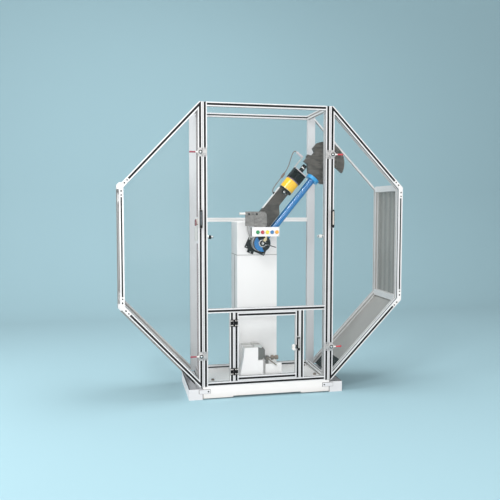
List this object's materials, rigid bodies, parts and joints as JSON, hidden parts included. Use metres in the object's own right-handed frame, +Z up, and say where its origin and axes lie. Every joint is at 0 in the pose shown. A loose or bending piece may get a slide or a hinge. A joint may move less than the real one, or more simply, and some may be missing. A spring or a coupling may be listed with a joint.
{
  "type": "pendulum impact tester",
  "caption": "Free-standing pendulum impact tester: column, latched swinging hammer, push-button box and specimen anvils inside an octagonal slotted-profile safety guard with opening doors.",
  "frame": {"origin": "on the floor, at the middle of the four floor-bolt holes", "axes": "+X to the right and +Y away from the viewer of the door side, +Z up"},
  "size_m": [2.074, 0.5405, 2.058],
  "materials": {
    "white_paint": "satin white paint",
    "profile": "anodised extrusion",
    "pale_profile": "satin pale paint",
    "clear": "clear polycarbonate",
    "grey_sheet": "grey ribbed sheet",
    "black": "matt black",
    "dark_metal": "dark grey paint",
    "hammer_steel": "dark blackened steel",
    "bracket_grey": "grey paint",
    "steel": "ground steel",
    "light_ring": "turned",
    "blue_paint": "gloss blue paint",
    "yellow": "gloss yellow paint",
    "lead_brown": "smooth sheath",
    "lead_grey": "smooth sheath",
    "red_plastic": "gloss",
    "white_plastic": "gloss",
    "green_plastic": "gloss",
    "button_red": "gloss",
    "button_yellow": "gloss",
    "button_blue": "gloss",
    "button_orange": "gloss"
  },
  "bodies": {
    "machine": {"base_frame": "white_paint", "base_plate": "white_paint", "base_bolts": "steel", "column": "white_paint", "column_head": "white_paint", "front_posts": "profile", "front_beams": "profile", "rear_posts": "pale_profile", "rear_beams": "profile", "front_wing_frames": "profile", "rear_wing_frames": "profile", "depth_beams": "profile", "fixed_windows": "clear", "side_sheets": "grey_sheet", "lower_aprons": "black", "guard_hinges": "dark_metal", "bearing_ring": "light_ring", "sensor_plate": "black", "shaft_bearings": "steel", "arm_bracket": "bracket_grey", "latch_arm": "dark_metal", "release_solenoid": "yellow", "latch_yoke": "black", "latch_lead": "lead_brown", "sensor_lead": "lead_grey", "button_box": "white_plastic", "anvil_pedestal": "white_paint", "specimen_anvils": "steel", "centring_slide": "dark_metal", "light_sensors": "steel", "interlock_switch": "dark_metal"},
    "pendulum": {"pendulum_shaft": "steel", "pendulum_hub": "blue_paint", "pendulum_tube": "blue_paint", "hammer": "hammer_steel", "striker": "steel", "hub_cap": "black"},
    "pointer": {"pointer": "steel"},
    "plunger": {"latch_plunger": "black"},
    "left_door": {"left_door_frame": "profile", "left_door_window": "clear", "left_door_fittings": "dark_metal"},
    "right_door": {"right_door_frame": "profile", "right_door_window": "clear", "right_door_fittings": "dark_metal"},
    "access_door": {"access_door_frame": "profile", "access_door_window": "clear", "access_door_fittings": "dark_metal"},
    "access_latch": {"access_door_latch": "white_plastic"},
    "clamp_left_upper": {"clamp_left_upper": "red_plastic"},
    "clamp_left_lower": {"clamp_left_lower": "red_plastic"},
    "clamp_right_upper": {"clamp_right_upper": "red_plastic"},
    "clamp_right_lower": {"clamp_right_lower": "red_plastic"},
    "green_button": {"button_green": "green_plastic"},
    "red_button": {"button_red": "button_red"},
    "yellow_button": {"button_yellow": "button_yellow"},
    "blue_button": {"button_blue": "button_blue"},
    "orange_button": {"button_orange": "button_orange"},
    "centring_knob": {"centring_knob": "steel"},
    "centring_lever": {"centring_lever": "steel"}
  },
  "joints": [
    {"name": "pendulum_swing", "type": "hinge", "parent": "machine", "child": "pendulum", "pos_m": [-0.0175, -0.13, 1.085], "axis": [0, 1, 0], "range_deg": [0, 281]},
    {"name": "pointer_turn", "type": "hinge", "parent": "pendulum", "child": "pointer", "pos_m": [-0.0175, -0.168, 1.085], "axis": [0, 1, 0], "range_deg": [-170, 170]},
    {"name": "latch_release", "type": "slide", "parent": "machine", "child": "plunger", "axis": [-0.6361, 0, -0.7716], "range_m": [0, 0.02], "stiffness_N_per_m": 800},
    {"name": "left_door_swing", "type": "hinge", "parent": "machine", "child": "left_door", "pos_m": [-1.025, -0.219, 1.073], "axis": [0, 0, -1], "range_deg": [0, 115]},
    {"name": "right_door_swing", "type": "hinge", "parent": "machine", "child": "right_door", "pos_m": [1.025, -0.219, 1.073], "axis": [0, 0, 1], "range_deg": [0, 115]},
    {"name": "access_door_swing", "type": "hinge", "parent": "machine", "child": "access_door", "pos_m": [-0.2395, -0.256, 0.362], "axis": [0, 0, -1], "range_deg": [0, 110]},
    {"name": "access_latch_turn", "type": "hinge", "parent": "access_door", "child": "access_latch", "pos_m": [0.1925, -0.255, 0.343], "axis": [0, 1, 0], "range_deg": [0, 90]},
    {"name": "clamp_left_upper_turn", "type": "hinge", "parent": "left_door", "child": "clamp_left_upper", "pos_m": [-0.4725, -0.2615, 1.717], "axis": [0, 1, 0], "range_deg": [-90, 0]},
    {"name": "clamp_left_lower_turn", "type": "hinge", "parent": "left_door", "child": "clamp_left_lower", "pos_m": [-0.4725, -0.2615, 0.308], "axis": [0, 1, 0], "range_deg": [0, 90]},
    {"name": "clamp_right_upper_turn", "type": "hinge", "parent": "right_door", "child": "clamp_right_upper", "pos_m": [0.4725, -0.2615, 1.717], "axis": [0, 1, 0], "range_deg": [0, 90]},
    {"name": "clamp_right_lower_turn", "type": "hinge", "parent": "right_door", "child": "clamp_right_lower", "pos_m": [0.4725, -0.2615, 0.335], "axis": [0, 1, 0], "range_deg": [-90, 0]},
    {"name": "green_button_press", "type": "slide", "parent": "machine", "child": "green_button", "axis": [0, 1, 0], "range_m": [0, 0.004], "stiffness_N_per_m": 400},
    {"name": "red_button_press", "type": "slide", "parent": "machine", "child": "red_button", "axis": [0, 1, 0], "range_m": [0, 0.004], "stiffness_N_per_m": 400},
    {"name": "yellow_button_press", "type": "slide", "parent": "machine", "child": "yellow_button", "axis": [0, 1, 0], "range_m": [0, 0.004], "stiffness_N_per_m": 400},
    {"name": "blue_button_press", "type": "slide", "parent": "machine", "child": "blue_button", "axis": [0, 1, 0], "range_m": [0, 0.004], "stiffness_N_per_m": 400},
    {"name": "orange_button_press", "type": "slide", "parent": "machine", "child": "orange_button", "axis": [0, 1, 0], "range_m": [0, 0.004], "stiffness_N_per_m": 400},
    {"name": "centring_knob_turn", "type": "hinge", "parent": "machine", "child": "centring_knob", "pos_m": [0.0325, -0.173, 0.256], "axis": [1, 0, 0], "range_deg": [-180, 180]},
    {"name": "centring_lever_lift", "type": "hinge", "parent": "machine", "child": "centring_lever", "pos_m": [0.0135, -0.199, 0.256], "axis": [0, 1, 0], "range_deg": [-70, 0]}
  ]
}
